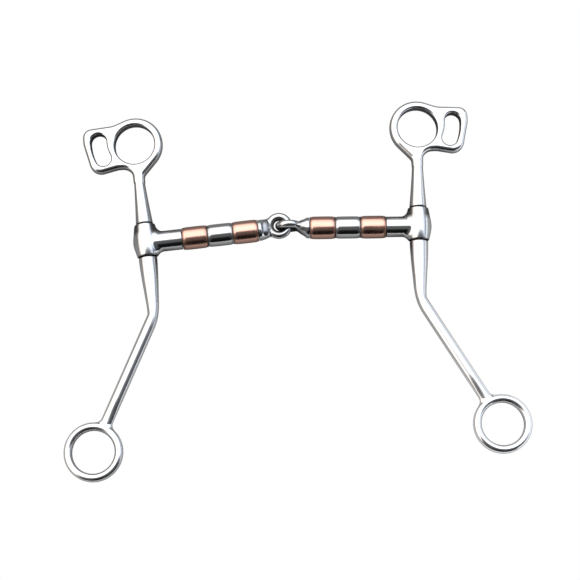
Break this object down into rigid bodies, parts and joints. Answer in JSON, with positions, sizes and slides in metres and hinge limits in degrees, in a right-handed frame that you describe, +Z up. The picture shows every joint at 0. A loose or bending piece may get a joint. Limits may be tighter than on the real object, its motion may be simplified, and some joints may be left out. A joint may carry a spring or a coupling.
{
  "type": "curb bit",
  "caption": "Loose-cheek curb bit with a jointed roller mouthpiece, bent shanks with rein rings, and headstall rings with curb-strap slots.",
  "frame": {"origin": "on the table, under the middle of the bit's box, as the bit lies with its cheeks turned flat", "axes": "+X along the mouthpiece from the left cheek to the right, +Y from the rein rings towards the headstall rings, +Z up from the table"},
  "size_m": [0.23, 0.1932, 0.0133],
  "materials": {
    "cheek_steel": "polished stainless steel, bright, with fine handling scratches",
    "mouth_steel": "polished stainless steel, turned and forged",
    "roller_steel": "polished steel, turned",
    "roller_copper": "polished solid copper, turned, lightly tarnished at the rims",
    "pin_steel": "ground steel rod"
  },
  "bodies": {
    "left_cannon": {"left_barrel": "mouth_steel", "left_roller_spindle": "pin_steel", "left_mouth_eye": "mouth_steel"},
    "left_cheek": {"left_purchase": "cheek_steel", "left_shank": "cheek_steel", "left_pivot_pin": "pin_steel"},
    "left_outer_roller": {"left_outer_roller": "roller_copper"},
    "left_middle_roller": {"left_middle_roller": "roller_steel"},
    "left_inner_roller": {"left_inner_roller": "roller_copper"},
    "right_cannon": {"right_barrel": "mouth_steel", "right_roller_spindle": "pin_steel", "right_mouth_eye": "mouth_steel"},
    "right_cheek": {"right_purchase": "cheek_steel", "right_shank": "cheek_steel", "right_pivot_pin": "pin_steel"},
    "right_outer_roller": {"right_outer_roller": "roller_copper"},
    "right_middle_roller": {"right_middle_roller": "roller_steel"},
    "right_inner_roller": {"right_inner_roller": "roller_copper"}
  },
  "joints": [
    {"name": "mouth_joint", "type": "hinge", "parent": "left_cannon", "child": "right_cannon", "pos_m": [-0.00498, 0.03226, 0.00665], "axis": [-0.1149, 0.9934, 0], "range_deg": [-100, 100]},
    {"name": "left_cheek_swivel", "type": "hinge", "parent": "left_cannon", "child": "left_cheek", "pos_m": [-0.07582, 0.02285, 0.00665], "axis": [-0.1149, 0.9934, 0], "continuous": true},
    {"name": "left_inner_roller_spin", "type": "hinge", "parent": "left_cannon", "child": "left_inner_roller", "pos_m": [-0.02643, 0.02857, 0.00665], "axis": [-0.9934, -0.1149, 0], "continuous": true},
    {"name": "left_middle_roller_spin", "type": "hinge", "parent": "left_cannon", "child": "left_middle_roller", "pos_m": [-0.03899, 0.02711, 0.00665], "axis": [-0.9934, -0.1149, 0], "continuous": true},
    {"name": "left_outer_roller_spin", "type": "hinge", "parent": "left_cannon", "child": "left_outer_roller", "pos_m": [-0.05156, 0.02566, 0.00665], "axis": [-0.9934, -0.1149, 0], "continuous": true},
    {"name": "right_cheek_swivel", "type": "hinge", "parent": "right_cannon", "child": "right_cheek", "pos_m": [0.06011, 0.03142, 0.00665], "axis": [-0.014, 0.9999, 0], "continuous": true},
    {"name": "right_inner_roller_spin", "type": "hinge", "parent": "right_cannon", "child": "right_inner_roller", "pos_m": [0.01209, 0.03075, 0.00665], "axis": [0.9999, 0.014, 0], "continuous": true},
    {"name": "right_middle_roller_spin", "type": "hinge", "parent": "right_cannon", "child": "right_middle_roller", "pos_m": [0.02474, 0.03092, 0.00665], "axis": [0.9999, 0.014, 0], "continuous": true},
    {"name": "right_outer_roller_spin", "type": "hinge", "parent": "right_cannon", "child": "right_outer_roller", "pos_m": [0.03739, 0.0311, 0.00665], "axis": [0.9999, 0.014, 0], "continuous": true}
  ]
}
